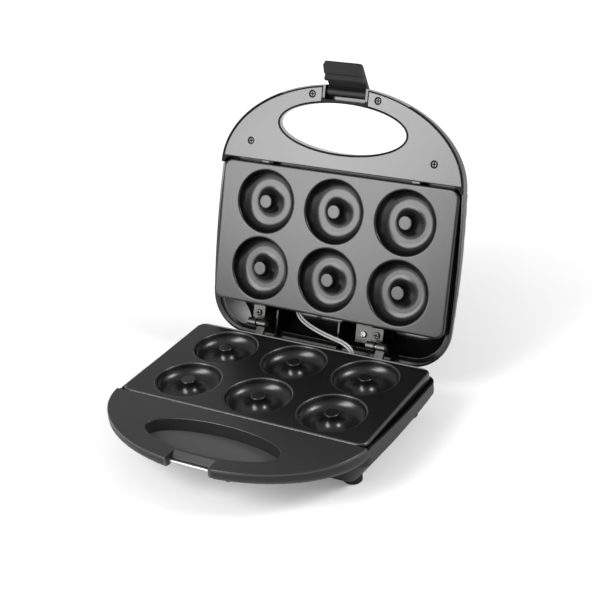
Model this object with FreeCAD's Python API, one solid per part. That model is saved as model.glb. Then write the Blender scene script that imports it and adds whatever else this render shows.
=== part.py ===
import FreeCAD, Part
import math
import os

V = FreeCAD.Vector

# All sizes are millimetres. Each half is drawn in its own frame: x to the right, y to the back,
# t away from the parting plane and into that half. The base hangs below the plane, the lid stands on it.
FACE_GAP = 0.6
LID_OPEN = 108.7
LATCH_OPEN = 48.0
WALL = 2.0
FIT = 0.2
RUN_FIT = 0.06
THREAD_FIT = 0.05
NEAR = 0.2

# Ring moulds, and the margins by which the plates, trays and bodies stand outside them.
PITCH_X = 70.0
PITCH_Y = 62.0
MOULD_R = 30.0
MOULD_RIM_R = 1.6
MOULD_STRAIGHT = 0.6
MOULD_BEND_R = 9.0
POST_R = 5.7
POST_EDGE_R = 0.6
PLATE_MARGIN_X = 17.4
PLATE_MARGIN_FRONT = 4.8
PLATE_MARGIN_REAR = 4.0
TRAY_MARGIN_X = 4.0
TRAY_INSET_Y = 3.0
BODY_MARGIN_X = 5.1
BODY_MARGIN_FRONT = 4.2
BODY_MARGIN_REAR = 3.0

# Mould plates.
PLATE_R = 9.0
PLATE_EDGE_R = 2.0
PLATE_WALL = 2.2
SKIRT_DROP = 0.9
LUG_W = 8.0
LUG_REACH = 4.6
LUG_T = 2.8
LUG_H = 2.0
BASE_LUG_X = 58.0
LID_LUG_X = 75.0
CLAMP_BOSS_R = 5.0
PLATE_SCREW_OUT = 2.2
PLATE_BOSS_R = 3.2

# Heat trays, heaters and what holds them.
SHEET = 1.0
TRAY_R = 14.0
TRAY_AIR = 1.4
FLANGE_INSET = 0.6
TRAY_SCREW_IN = 19.0
TRAY_SCREW_Y = 30.0
TRAY_BOSS_R = 4.5
HEATER_R = 3.3
HEATER_IN = 11.0
HEATER_BEND_R = 30.0
HEATER_LEG_X = 14.0
HEATER_LEG_R = 8.0
HEATER_LEG_IN = 2.5
PIN_R = 1.3
PIN_REACH = 4.0
CLAMP_BAR_T = 1.5
CLAMP_BAR_W = 12.0
CLAMP_BAR_REACH = 6.0
BLOCK_HALF_X = 24.0
BLOCK_DEPTH = 6.4
BLOCK_H = 8.0
THERMOSTAT_R = 8.0
THERMOSTAT_H = 7.5
THERMOSTAT_EDGE_R = 1.0
THERMOSTAT_FLANGE_X = 13.0
THERMOSTAT_FLANGE_Y = 4.0
FUSE_X = -60.0
FUSE_R = 2.0
FUSE_LENGTH = 16.0
FUSE_CLIP = 1.5
FUSE_CLIP_HALF_X = 4.0

# Screws: shank radius, head radius, head height.
SCREW_SMALL = (1.25, 2.0, 1.6)
SCREW_MEDIUM = (1.5, 3.0, 2.0)
SCREW_LARGE = (2.0, 3.6, 2.4)
TIP_GAP = 1.0
CLAMP_BLIND = 4.0
PLATE_BLIND = 2.0
TRAY_SCREW_LENGTH = 8.0
BASE_HANDLE_SCREW_LENGTH = 7.0
LID_HANDLE_SCREW_LENGTH = 7.5
BASE_LEAF_SCREW_LENGTH = 8.0
LID_LEAF_SCREW_LENGTH = 12.0
EARTH_SCREW_LENGTH = 10.0
HEAD_SINK = 1.0

# Plan of the two bodies: bowed sides, rounded corners and a rim that slopes towards the hinge.
BOW_R = 1000.0
BOW_Y = 8.0
BODY_FRONT_R = 10.0
BASE_REAR_R = 13.0
HOOD_REAR_R = 37.0
RIM_FRONT_T = 3.4
RIM_SLOPE = 0.0417

# Base tub.
TUB_WALL_T = 19.0
TUB_UNDER_TRAY = 13.0
TUB_FLOOR = 2.5
TAPER_X = 16.0
TAPER_FRONT = 6.0
TAPER_REAR = 3.0
TAPER_R = 8.0

# Lid: a rim band and a dome that rises from it.
BAND_T = 16.0
BAND_EDGE_R = 5.0
DOME_OVER_TRAY = 11.0
DOME_INSET = 5.0
DOME_START_T = 11.0
DOME_FRONT_R = 28.0
DOME_EDGE_R = 22.0

# Handles, the same on both halves. Places along a handle are counted from its front.
HANDLE_STEP = 2.0
HANDLE_B = 81.0
HANDLE_LAP = 8.0
HANDLE_FRONT_T = 12.0
HANDLE_SLOPE = 0.04
HANDLE_EDGE_R = 7.0
OVAL_BACK = 38.25
OVAL_HALF_Y = 21.9
OVAL_HALF_X = 62.5
OVAL_FLARE = 0.35
COLLAR = 2.4
COVER_T = 2.4
COVER_INSET = 1.9
COVER_GROOVE = 0.8
COVER_LAP = 1.3
COVER_LEDGE = 1.9
COVER_EDGE_R = 0.6
COVER_SCREW = (1.5, 2.5, 1.2)
COVER_SCREW_WELL_R = 3.4
COVER_SINK = 1.6
TOP_LAP = 2.5
TOP_EDGE_R = 1.2
RECESS_EDGE_R = 0.7
SLOT_HALF = 19.8
SLOT_WALL = 2.4
SLOT_SKIN_BACK = 5.4
SLOT_AIR = 0.4
HANDLE_SCREW_X = (91.0, 32.3)
HANDLE_SCREW_BACK = (58.5, 10.5)
HANDLE_BOSS_R = 3.4

# Feet and cord inlet.
FOOT_H = 6.0
FOOT_IN_X = 24.8
FOOT_IN_FRONT = 18.4
FOOT_IN_REAR = 12.0
FOOT_R = 8.0
FOOT_EDGE_R = 1.5
FOOT_NECK_R = 3.0
FOOT_BULB_R = 4.5
FOOT_BULB_H = 2.0
GLAND_X = -34.0
GLAND_UP = 13.0
GLAND_BORE_R = 3.6
GLAND_NECK_R = 5.4
GLAND_FLANGE_R = 8.0
GLAND_FLANGE = 2.0
GLAND_PAD_R = 9.0
GLAND_PAD = 1.0
GLAND_INSIDE = 3.0

# Hinges: one base knuckle and one lid knuckle side by side on a pin. Places are counted from the axis.
HINGE_BEHIND = 13.8
HOOD_BEHIND = 13.7
HINGE_X = 61.0
KNUCKLE_STEP = 10.5
KNUCKLE_W = 8.0
KNUCKLE_R = 4.0
HINGE_PIN_R = 2.0
HINGE_PIN_PROUD = 0.5
LEAF = 2.0
LEAF_FOOT = 0.4
LEAF_TOP_T = 11.0
BASE_LEAF_HALF_W = 8.0
LEAF_SCREW_T = 15.0
STOP_T0 = 3.7
STOP_T1 = 5.9
STOP_Y0 = 4.6
STOP_Y1 = 8.0
LID_LEAF_T = 10.0
LID_LEAF_HALF_W = 6.0
LID_LEAF_REACH = 14.3
LID_LEAF_SCREW_IN = 8.0
LEAF_BOSS_R = 5.0
EARTH_X = 36.5
EARTH_IN = 6.3
EARTH_HALF_W = 8.0
FIN_X = (-51.5, 12.5)
FIN_W = 1.8
FIN_REACH = 13.3
FIN_T = 9.0

# Latch, closed: a hinged clip on the lid's handle whose hook passes under a bar in the base's handle.
LATCH_BACK = 7.0
LATCH_T = 6.0
LATCH_HALF_W = 18.8
LATCH_BARREL_R = 4.0
LATCH_PIN_R = 1.5
LATCH_OUTER_BACK = 0.7
LATCH_INNER_BACK = 4.4
LATCH_TOP_T = 4.5
LATCH_TAB_T = -25.0
LATCH_TAB_R = 4.0
LATCH_HOOK_BACK = 8.4
LATCH_HOOK_T = -7.8
LATCH_HOOK_H = 2.8
BAR_BACK = 6.5
BAR_T = 6.0
BAR_R = 1.5
RAMP_BACK = 8.6
RAMP_T = 4.4
RAMP_FOOT_T = 9.0

# Pilot lights on top of the lid.
LIGHT_X = 12.0
LIGHT_Y = -30.0
LIGHT_R = 5.0
LIGHT_FLANGE_R = 6.5
LIGHT_PROUD = 1.6
LIGHT_HOLDER_H = 6.5
LIGHT_HOLDER_BACK = 1.5

# Twin lead from the base to the lid, along its run with the lid open.
LEAD_R = 0.9
LEAD_STEP = 1.35
LEAD_HOLE_R = 3.6
LEAD_BASE_X = 34.5
LEAD_BASE_T = 18.0
LEAD_BEHIND = 5.0
LEAD_RUN_OUT = 2.8
LEAD_LID_OUT = 4.2
LEAD_LID_T = 17.0
LEAD_EXIT = 13.8
LEAD_TURN_X = -30.0
LEAD_TURN_IN = 8.0
LEAD_TURN_T = 11.2
LEAD_SAG_X = -5.0
LEAD_SAG_BEHIND = 4.8
LEAD_SAG_T = 1.4
LEAD_BENDS = (5.0, 12.0, 60.0, 5.0, 5.0, 5.0)

# Sizes that follow from the ones above.
FACE_T = FACE_GAP / 2
MOULD_WALL_R = MOULD_R - MOULD_RIM_R
POST_WALL_R = POST_R + POST_EDGE_R
MOULD_T = FACE_T + MOULD_RIM_R + MOULD_STRAIGHT + MOULD_BEND_R
HEATER_T = MOULD_T + PLATE_WALL + NEAR + HEATER_R
CLAMP_T = HEATER_T + HEATER_R + NEAR
CLAMP_X = PITCH_X / 2
SKIRT_T = MOULD_T + SKIRT_DROP
FLANGE_T = SKIRT_T + SHEET
TRAY_T = CLAMP_T + CLAMP_BAR_T + SCREW_LARGE[2] + TRAY_AIR + SHEET
TUB_T = TRAY_T + TUB_UNDER_TRAY
DOME_T = TRAY_T + DOME_OVER_TRAY
FACE_Z = TUB_T + FOOT_H
MOULDS_X = PITCH_X + MOULD_R
MOULDS_Y = PITCH_Y / 2 + MOULD_R
PLATE_HALF_X = MOULDS_X + PLATE_MARGIN_X
PLATE_FRONT_Y = -MOULDS_Y - PLATE_MARGIN_FRONT
PLATE_REAR_Y = MOULDS_Y + PLATE_MARGIN_REAR
BODY_HALF_W = PLATE_HALF_X + BODY_MARGIN_X
BODY_FRONT_Y = PLATE_FRONT_Y - BODY_MARGIN_FRONT
BASE_REAR_Y = PLATE_REAR_Y + BODY_MARGIN_REAR
HINGE_Y = BASE_REAR_Y + HINGE_BEHIND
HOOD_REAR_Y = HINGE_Y + HOOD_BEHIND
TRAY_HALF_X = MOULDS_X + TRAY_MARGIN_X
TRAY_HALF_Y = MOULDS_Y - TRAY_INSET_Y
TRAY_SCREW_X = TRAY_HALF_X - TRAY_SCREW_IN
PLATE_SCREW_Y = TRAY_HALF_Y + PLATE_SCREW_OUT
HEATER_HALF_X = TRAY_HALF_X - HEATER_IN
HEATER_LEG_Y = TRAY_HALF_Y - HEATER_LEG_IN
PIN_END_Y = TRAY_HALF_Y + PIN_REACH
CLAMP_BAR_HALF_Y = PITCH_Y / 2 + CLAMP_BAR_REACH
HANDLE_A = BODY_HALF_W - HANDLE_STEP
HANDLE_Y = BODY_FRONT_Y + HANDLE_LAP
HANDLE_FRONT_Y = HANDLE_Y - HANDLE_B
OVAL_Y = HANDLE_FRONT_Y + OVAL_BACK
COVER_REAR_Y = BODY_FRONT_Y + COVER_LAP
TOP_REAR_Y = BODY_FRONT_Y + TOP_LAP
SLOT_SKIN_Y = HANDLE_FRONT_Y + SLOT_SKIN_BACK
FOOT_X = BODY_HALF_W - FOOT_IN_X
FOOT_FRONT_Y = BODY_FRONT_Y + FOOT_IN_FRONT
FOOT_REAR_Y = BASE_REAR_Y - FOOT_IN_REAR
GLAND_T = TUB_T - GLAND_UP
GLAND_PAD_Y = BASE_REAR_Y + GLAND_PAD
GLAND_IN_Y = BASE_REAR_Y - WALL - GLAND_INSIDE
LEAF_FOOT_T = TUB_WALL_T - LEAF_FOOT
LID_LEAF_FRONT_Y = HINGE_Y - LID_LEAF_REACH
LID_LEAF_SCREW_Y = HINGE_Y - LID_LEAF_SCREW_IN
EARTH_Y = HINGE_Y - EARTH_IN
FIN_FRONT_Y = HINGE_Y - FIN_REACH
LATCH_Y = HANDLE_FRONT_Y + LATCH_BACK
LATCH_OUTER_Y = HANDLE_FRONT_Y + LATCH_OUTER_BACK
LATCH_INNER_Y = HANDLE_FRONT_Y + LATCH_INNER_BACK
LATCH_HOOK_Y = HANDLE_FRONT_Y + LATCH_HOOK_BACK
BAR_Y = HANDLE_FRONT_Y + BAR_BACK
RAMP_Y = HANDLE_FRONT_Y + RAMP_BACK
LIGHT_HOLDER_T = DOME_T - WALL - LIGHT_HOLDER_H
LEAD_BACK_Y = BASE_REAR_Y + LEAD_BEHIND
LEAD_RUN_Y = TRAY_HALF_Y + LEAD_RUN_OUT
LEAD_LID_Y = TRAY_HALF_Y + LEAD_LID_OUT
MOULDS = [(i * PITCH_X, (j - 0.5) * PITCH_Y) for i in (-1, 0, 1) for j in (0, 1)]
SIDES = (-1, 1)
HANDLE_SCREWS = [(s * x, HANDLE_FRONT_Y + back)
                 for x, back in zip(HANDLE_SCREW_X, HANDLE_SCREW_BACK) for s in SIDES]


def box(x0, x1, y0, y1, t0, t1):
    return Part.makeBox(x1 - x0, y1 - y0, t1 - t0, V(x0, y0, t0))


def rod(radius, start, end):
    way = V(*end) - V(*start)
    return Part.makeCylinder(radius, way.Length, V(*start), way)


def one(shapes):
    return shapes[0].fuse(shapes[1:]).removeSplitter()


def solid(shape):
    return shape.removeSplitter().Solids[0]


def group(shapes):
    return Part.makeCompound(shapes)


def prism(wire, height):
    return Part.Face(wire).extrude(V(0, 0, height))


def across(points, x0, x1):
    wire = Part.makePolygon([V(x0, y, t) for y, t in points + points[:1]])
    return Part.Face(wire).extrude(V(x1 - x0, 0, 0))


def rounded(x0, x1, y0, y1, radius, t):
    plain = Part.makePolygon([V(x0, y0, t), V(x1, y0, t), V(x1, y1, t), V(x0, y1, t), V(x0, y0, t)])
    block = Part.Face(plain).extrude(V(0, 0, 1))
    uprights = [e for e in block.Edges if abs(e.Vertexes[0].Z - e.Vertexes[1].Z) > 0.5]
    block = block.makeFillet(radius, uprights)
    bottom = min(block.Faces, key=lambda f: f.CenterOfMass.z)
    return bottom.OuterWire


def bowed(inset, y0, r0, y1, r1, t):
    """Plan outline with bowed sides; inset moves every edge inwards."""
    bow = BOW_R - inset
    cx = BODY_HALF_W - BOW_R
    corners = []
    for edge, radius, way in ((y0 + inset, r0 - inset, 1), (y1 - inset, r1 - inset, -1)):
        yc = edge + way * radius
        xc = cx + math.sqrt((bow - radius) ** 2 - (yc - BOW_Y) ** 2)
        out = V(xc - cx, yc - BOW_Y, 0).normalize()
        mid = (out + V(0, -way, 0)).normalize()
        centre = V(xc, yc, t)
        corners.append((V(xc, edge, t), centre + mid * radius, centre + out * radius))
    (fa, fb, fc), (ra, rb, rc) = corners
    side = V(cx + bow, BOW_Y, t)

    def left(p):
        return V(-p.x, p.y, p.z)
    return Part.Wire([
        Part.makeLine(left(fa), fa), Part.Arc(fa, fb, fc).toShape(), Part.Arc(fc, side, rc).toShape(),
        Part.Arc(rc, rb, ra).toShape(), Part.makeLine(ra, left(ra)),
        Part.Arc(left(ra), left(rb), left(rc)).toShape(), Part.Arc(left(rc), left(side), left(fc)).toShape(),
        Part.Arc(left(fc), left(fb), left(fa)).toShape()])


def edges_at(shape, t):
    return [e for e in shape.Edges if all(abs(v.Z - t) < 1e-4 for v in e.Vertexes)]


def handle_prism(inset, t0, height):
    ring = Part.Ellipse(V(0, HANDLE_Y, t0), HANDLE_A - inset, HANDLE_B - inset)
    arc = Part.Arc(ring, math.pi, 2 * math.pi).toShape()
    ends = [v.Point for v in arc.Vertexes]
    return prism(Part.Wire([arc, Part.makeLine(ends[-1], ends[0])]), height)


def handle_depth(y):
    return HANDLE_FRONT_T + HANDLE_SLOPE * (y - HANDLE_FRONT_Y)


def handle_solid(inset, t0, skin):
    """The handle's body down to its sloping back, less a skin, with the back edge rounded."""
    y0, y1 = HANDLE_FRONT_Y - 1, HANDLE_Y + 1
    under = across([(y0, t0 - 1), (y1, t0 - 1), (y1, handle_depth(y1) - skin), (y0, handle_depth(y0) - skin)],
                   -HANDLE_A - 1, HANDLE_A + 1)
    body = handle_prism(inset, t0, 2 * HANDLE_FRONT_T).common(under).Solids[0]

    def on_back(e):
        p = e.valueAt((e.FirstParameter + e.LastParameter) / 2)
        return abs(p.z - handle_depth(p.y) + skin) < 1e-3 and e.Curve.TypeId != "Part::GeomLine"
    return body.makeFillet(HANDLE_EDGE_R - inset, [e for e in body.Edges if on_back(e)])


def oval(grow, t0, t1, flare=0.0):
    """The elliptical hand opening, grown all round; a flare widens it towards the back."""
    rings = [Part.Ellipse(V(0, OVAL_Y, t), OVAL_HALF_X + grow + flare * (t - FACE_T), OVAL_HALF_Y + grow)
             for t in (t0, t1)]
    return Part.makeLoft([Part.Wire(ring.toShape()) for ring in rings], True, True)


def tube(points, bends, radius):
    """Round bar along straight runs joined by tangent bends."""
    pts = [V(*p) for p in points]
    cuts = []
    for before, here, after, bend in zip(pts, pts[1:], pts[2:], bends):
        a, b = (before - here).normalize(), (after - here).normalize()
        half = a.getAngle(b) / 2
        reach = bend / math.tan(half)
        centre = here + (a + b).normalize() * (bend / math.sin(half))
        turn = math.degrees(math.pi - 2 * half)
        cuts.append((here + a * reach, here + b * reach, centre, turn, a.cross(b)))
    pieces = []
    start = pts[0]
    for enter, leave, centre, angle, normal in cuts:
        pieces.append(Part.makeCylinder(radius, (enter - start).Length, start, enter - start))
        disc = Part.Face(Part.Wire(Part.makeCircle(radius, enter, enter - start)))
        pieces.append(disc.revolve(centre, normal * -1, angle))
        start = leave
    pieces.append(Part.makeCylinder(radius, (pts[-1] - start).Length, start, pts[-1] - start))
    return solid(pieces[0].fuse(pieces[1:]))


def screw(size, length, at, way):
    """Cross-headed screw whose head sits on the point given and whose shank runs along the way given."""
    shank_r, head_r, head_h = size
    head = Part.makeCylinder(head_r, head_h, V(0, 0, -head_h))
    head = head.makeFillet(head_h * 0.45, edges_at(head, -head_h))
    arm, slot = head_r * 0.7, head_r * 0.2
    deep = head_h * 0.6
    cross = box(-arm, arm, -slot, slot, -head_h - 1, -head_h + deep)
    cross = cross.fuse(box(-slot, slot, -arm, arm, -head_h - 1, -head_h + deep))
    body = solid(head.fuse(Part.makeCylinder(shank_r, length)).cut(cross))
    body.Placement = FreeCAD.Placement(V(*at), FreeCAD.Rotation(V(0, 0, 1), V(*way)))
    return body


def to_base(shape):
    turned = shape.mirror(V(0, 0, 0), V(0, 0, 1))
    turned.translate(V(0, 0, FACE_Z))
    return turned


def to_lid(shape):
    opened = shape.copy()
    opened.translate(V(0, 0, FACE_Z))
    opened.rotate(V(0, HINGE_Y, FACE_Z), V(1, 0, 0), -LID_OPEN)
    return opened


nodes = {}

# Mould plate of one half: flat deck with six ring moulds, a skirt, screw bosses and two front lugs.
MIDWAY = 1 - math.sqrt(0.5)
wall_t = MOULD_T - MOULD_BEND_R
bend = MOULD_BEND_R * MIDWAY
hollow = Part.Wire([
    Part.makeLine(V(POST_R, 0, FACE_T - 1), V(POST_R, 0, FACE_T)),
    Part.Arc(V(POST_R, 0, FACE_T),
             V(POST_WALL_R - POST_EDGE_R * MIDWAY, 0, FACE_T + POST_EDGE_R * MIDWAY),
             V(POST_WALL_R, 0, FACE_T + POST_EDGE_R)).toShape(),
    Part.makeLine(V(POST_WALL_R, 0, FACE_T + POST_EDGE_R), V(POST_WALL_R, 0, wall_t)),
    Part.Arc(V(POST_WALL_R, 0, wall_t),
             V(POST_WALL_R + bend, 0, MOULD_T - bend),
             V(POST_WALL_R + MOULD_BEND_R, 0, MOULD_T)).toShape(),
    Part.makeLine(V(POST_WALL_R + MOULD_BEND_R, 0, MOULD_T), V(MOULD_WALL_R - MOULD_BEND_R, 0, MOULD_T)),
    Part.Arc(V(MOULD_WALL_R - MOULD_BEND_R, 0, MOULD_T),
             V(MOULD_WALL_R - bend, 0, MOULD_T - bend),
             V(MOULD_WALL_R, 0, wall_t)).toShape(),
    Part.makeLine(V(MOULD_WALL_R, 0, wall_t), V(MOULD_WALL_R, 0, FACE_T + MOULD_RIM_R)),
    Part.Arc(V(MOULD_WALL_R, 0, FACE_T + MOULD_RIM_R),
             V(MOULD_WALL_R + MOULD_RIM_R * MIDWAY, 0, FACE_T + MOULD_RIM_R * MIDWAY),
             V(MOULD_R, 0, FACE_T)).toShape(),
    Part.makeLine(V(MOULD_R, 0, FACE_T), V(MOULD_R, 0, FACE_T - 1)),
    Part.makeLine(V(MOULD_R, 0, FACE_T - 1), V(POST_R, 0, FACE_T - 1))])
hollow = Part.Face(hollow).revolve(V(0, 0, 0), V(0, 0, 1), 360)

back_r = MOULD_BEND_R + PLATE_WALL
back_t = MOULD_T + PLATE_WALL
post_r = POST_WALL_R - PLATE_WALL
cup_r = MOULD_WALL_R + PLATE_WALL
deck_t = FACE_T + PLATE_WALL
back_bend = back_r * MIDWAY
cup = Part.Wire([
    Part.makeLine(V(0, 0, FACE_T + 1), V(cup_r, 0, FACE_T + 1)),
    Part.makeLine(V(cup_r, 0, FACE_T + 1), V(cup_r, 0, back_t - back_r)),
    Part.Arc(V(cup_r, 0, back_t - back_r),
             V(cup_r - back_bend, 0, back_t - back_bend),
             V(cup_r - back_r, 0, back_t)).toShape(),
    Part.makeLine(V(cup_r - back_r, 0, back_t), V(post_r + back_r, 0, back_t)),
    Part.Arc(V(post_r + back_r, 0, back_t),
             V(post_r + back_bend, 0, back_t - back_bend),
             V(post_r, 0, back_t - back_r)).toShape(),
    Part.makeLine(V(post_r, 0, back_t - back_r), V(0, 0, back_t - back_r)),
    Part.makeLine(V(0, 0, back_t - back_r), V(0, 0, FACE_T + 1))])
cup = Part.Face(cup).revolve(V(0, 0, 0), V(0, 0, 1), 360)


def mould_plate(lug_x):
    deck = prism(rounded(-PLATE_HALF_X, PLATE_HALF_X, PLATE_FRONT_Y, PLATE_REAR_Y, PLATE_R, FACE_T),
                 SKIRT_T - FACE_T)
    deck = deck.makeFillet(PLATE_EDGE_R, edges_at(deck, FACE_T))
    x = PLATE_HALF_X - PLATE_WALL
    room = rounded(-x, x, PLATE_FRONT_Y + PLATE_WALL, PLATE_REAR_Y - PLATE_WALL, PLATE_R - PLATE_WALL, deck_t)
    deck = deck.cut(prism(room, SKIRT_T))
    added = [cup.translated(V(x, y, 0)) for x, y in MOULDS]
    added += [rod(CLAMP_BOSS_R, (s * CLAMP_X, 0, FACE_T + 1), (s * CLAMP_X, 0, CLAMP_T)) for s in SIDES]
    added += [rod(PLATE_BOSS_R, (s * CLAMP_X, PLATE_SCREW_Y, FACE_T + 1),
                  (s * CLAMP_X, PLATE_SCREW_Y, SKIRT_T)) for s in SIDES]
    added += [box(s * lug_x - LUG_W / 2, s * lug_x + LUG_W / 2, PLATE_FRONT_Y - LUG_REACH, PLATE_FRONT_Y + 1,
                  LUG_T, LUG_T + LUG_H) for s in SIDES]
    taken = [hollow.translated(V(x, y, 0)) for x, y in MOULDS]
    taken += [rod(SCREW_LARGE[0] + THREAD_FIT, (s * CLAMP_X, 0, deck_t + CLAMP_BLIND),
                  (s * CLAMP_X, 0, CLAMP_T + 1)) for s in SIDES]
    taken += [rod(SCREW_SMALL[0] + THREAD_FIT, (s * CLAMP_X, PLATE_SCREW_Y, deck_t + PLATE_BLIND),
                  (s * CLAMP_X, PLATE_SCREW_Y, SKIRT_T + 1)) for s in SIDES]
    return solid(deck.fuse(added).cut(taken))


nodes["base_mould_plate"] = to_base(mould_plate(BASE_LUG_X))
nodes["lid_mould_plate"] = to_lid(mould_plate(LID_LUG_X))


# Heat tray of one half: a pressed pan whose flange carries the plate's skirt.
def heat_tray(earth):
    gap = FLANGE_INSET
    x, y = TRAY_HALF_X - SHEET, TRAY_HALF_Y - SHEET
    flange = prism(rounded(-PLATE_HALF_X + gap, PLATE_HALF_X - gap, PLATE_FRONT_Y + gap, PLATE_REAR_Y - gap,
                           PLATE_R, SKIRT_T), SHEET)
    pan = prism(rounded(-TRAY_HALF_X, TRAY_HALF_X, -TRAY_HALF_Y, TRAY_HALF_Y, TRAY_R, SKIRT_T),
                TRAY_T - SKIRT_T)
    inside = prism(rounded(-x, x, -y, y, TRAY_R - SHEET, SKIRT_T - 1), TRAY_T - SHEET - SKIRT_T + 1)
    added = [pan]
    taken = [inside]
    if earth:
        added.append(box(EARTH_X - EARTH_HALF_W, EARTH_X + EARTH_HALF_W, TRAY_HALF_Y, EARTH_Y + EARTH_HALF_W,
                         SKIRT_T, FLANGE_T))
        taken.append(rod(SCREW_MEDIUM[0] + FIT, (EARTH_X, EARTH_Y, 0), (EARTH_X, EARTH_Y, TRAY_T)))
    taken += [rod(SCREW_MEDIUM[0] + FIT, (a * TRAY_SCREW_X, b * TRAY_SCREW_Y, 0),
                  (a * TRAY_SCREW_X, b * TRAY_SCREW_Y, DOME_T)) for a in SIDES for b in SIDES]
    taken += [rod(SCREW_SMALL[0] + FIT, (s * CLAMP_X, PLATE_SCREW_Y, 0), (s * CLAMP_X, PLATE_SCREW_Y, TRAY_T))
              for s in SIDES]
    taken += [rod(PIN_R + 1, (s * HEATER_LEG_X, y - 1, HEATER_T),
                  (s * HEATER_LEG_X, TRAY_HALF_Y + 1, HEATER_T)) for s in SIDES]
    return solid(flange.fuse(added).cut(taken))


nodes["base_heat_tray"] = to_base(heat_tray(False))
nodes["lid_heat_tray"] = to_lid(heat_tray(True))

# Sheathed heater: one loop under the two rows of moulds, with both legs plugged into a terminal block.
row = PITCH_Y / 2
loop = [(-HEATER_LEG_X, HEATER_LEG_Y), (-HEATER_LEG_X, row), (-HEATER_HALF_X, row), (-HEATER_HALF_X, -row),
        (HEATER_HALF_X, -row), (HEATER_HALF_X, row), (HEATER_LEG_X, row), (HEATER_LEG_X, HEATER_LEG_Y)]
loop = [(x, y, HEATER_T) for x, y in loop]
heater = tube(loop, [HEATER_LEG_R] + [HEATER_BEND_R] * 4 + [HEATER_LEG_R], HEATER_R)
heater = one([heater] + [rod(PIN_R, (s * HEATER_LEG_X, HEATER_LEG_Y - 1, HEATER_T),
                             (s * HEATER_LEG_X, PIN_END_Y, HEATER_T)) for s in SIDES])
nodes["base_heater"] = to_base(heater)
nodes["lid_heater"] = to_lid(heater)

block = box(-BLOCK_HALF_X, BLOCK_HALF_X, TRAY_HALF_Y, TRAY_HALF_Y + BLOCK_DEPTH, FLANGE_T, FLANGE_T + BLOCK_H)
block = solid(block.cut([rod(PIN_R + THREAD_FIT, (s * HEATER_LEG_X, TRAY_HALF_Y - 1, HEATER_T),
                             (s * HEATER_LEG_X, PIN_END_Y + FIT, HEATER_T)) for s in SIDES]))
nodes["base_terminal_block"] = to_base(block)
nodes["lid_terminal_block"] = to_lid(block)

bars = []
for s in SIDES:
    x = s * CLAMP_X
    bar = box(x - CLAMP_BAR_W / 2, x + CLAMP_BAR_W / 2, -CLAMP_BAR_HALF_Y, CLAMP_BAR_HALF_Y,
              CLAMP_T, CLAMP_T + CLAMP_BAR_T)
    bars.append(solid(bar.cut(rod(SCREW_LARGE[0] + FIT, (x, 0, CLAMP_T - 1), (x, 0, TRAY_T)))))
clamp_seat = CLAMP_T + CLAMP_BAR_T
clamp_length = clamp_seat - deck_t - CLAMP_BLIND - TIP_GAP
plate_length = FLANGE_T - deck_t - PLATE_BLIND - TIP_GAP
clamp_screws = [screw(SCREW_LARGE, clamp_length, (s * CLAMP_X, 0, clamp_seat), (0, 0, -1)) for s in SIDES]
plate_screws = [screw(SCREW_SMALL, plate_length, (s * CLAMP_X, PLATE_SCREW_Y, FLANGE_T), (0, 0, -1))
                for s in SIDES]
tray_holes = [(a * TRAY_SCREW_X, b * TRAY_SCREW_Y) for a in SIDES for b in SIDES]
tray_screws = [screw(SCREW_MEDIUM, TRAY_SCREW_LENGTH, (x, y, TRAY_T - SHEET), (0, 0, 1))
               for x, y in tray_holes]
for half, place in (("base", to_base), ("lid", to_lid)):
    nodes[half + "_heater_clamps"] = group([place(s) for s in bars])
    nodes[half + "_clamp_screws"] = group([place(s) for s in clamp_screws])
    nodes[half + "_plate_screws"] = group([place(s) for s in plate_screws])
    nodes[half + "_tray_screws"] = group([place(s) for s in tray_screws])

# Thermostat and thermal fuse on the base tray's floor.
floor_t = TRAY_T - SHEET
sensor = rod(THERMOSTAT_R, (0, 0, floor_t - SHEET - THERMOSTAT_H), (0, 0, floor_t - SHEET))
sensor = sensor.makeFillet(THERMOSTAT_EDGE_R, edges_at(sensor, floor_t - SHEET - THERMOSTAT_H))
tabs = box(-THERMOSTAT_FLANGE_X, THERMOSTAT_FLANGE_X, -THERMOSTAT_FLANGE_Y, THERMOSTAT_FLANGE_Y,
           floor_t - SHEET, floor_t)
nodes["thermostat"] = to_base(one([sensor, tabs]))
clip_r = FUSE_R + FUSE_CLIP
fuse_t = floor_t - clip_r
fuse_link = rod(FUSE_R, (FUSE_X - FUSE_LENGTH / 2, 0, fuse_t), (FUSE_X + FUSE_LENGTH / 2, 0, fuse_t))
nodes["thermal_fuse"] = to_base(fuse_link)
clip = box(FUSE_X - FUSE_CLIP_HALF_X, FUSE_X + FUSE_CLIP_HALF_X, -clip_r, clip_r, fuse_t - clip_r, floor_t)
clip_hole = rod(FUSE_R + THREAD_FIT, (FUSE_X - FUSE_LENGTH, 0, fuse_t), (FUSE_X + FUSE_LENGTH, 0, fuse_t))
nodes["fuse_clip"] = to_base(solid(clip.cut(clip_hole)))

# Base shell: tub with tapered floor, and the lower handle as a tray.
tub = prism(bowed(0, BODY_FRONT_Y, BODY_FRONT_R, BASE_REAR_Y, BASE_REAR_R, 0), TUB_WALL_T)
tub_room = prism(bowed(WALL, BODY_FRONT_Y, BODY_FRONT_R, BASE_REAR_Y, BASE_REAR_R, -1), TUB_WALL_T + 1)


def tapered(inset, depth):
    share = (depth - TUB_WALL_T) / (TUB_T - TUB_WALL_T)
    upper = bowed(inset, BODY_FRONT_Y, BODY_FRONT_R, BASE_REAR_Y, BASE_REAR_R, TUB_WALL_T)
    x = TAPER_X * share + inset
    lower = bowed(x, BODY_FRONT_Y + TAPER_FRONT * share + inset - x, TAPER_R + x,
                  BASE_REAR_Y - TAPER_REAR * share - inset + x, TAPER_R + x, depth)
    return Part.makeLoft([upper, lower], True, True)


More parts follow.
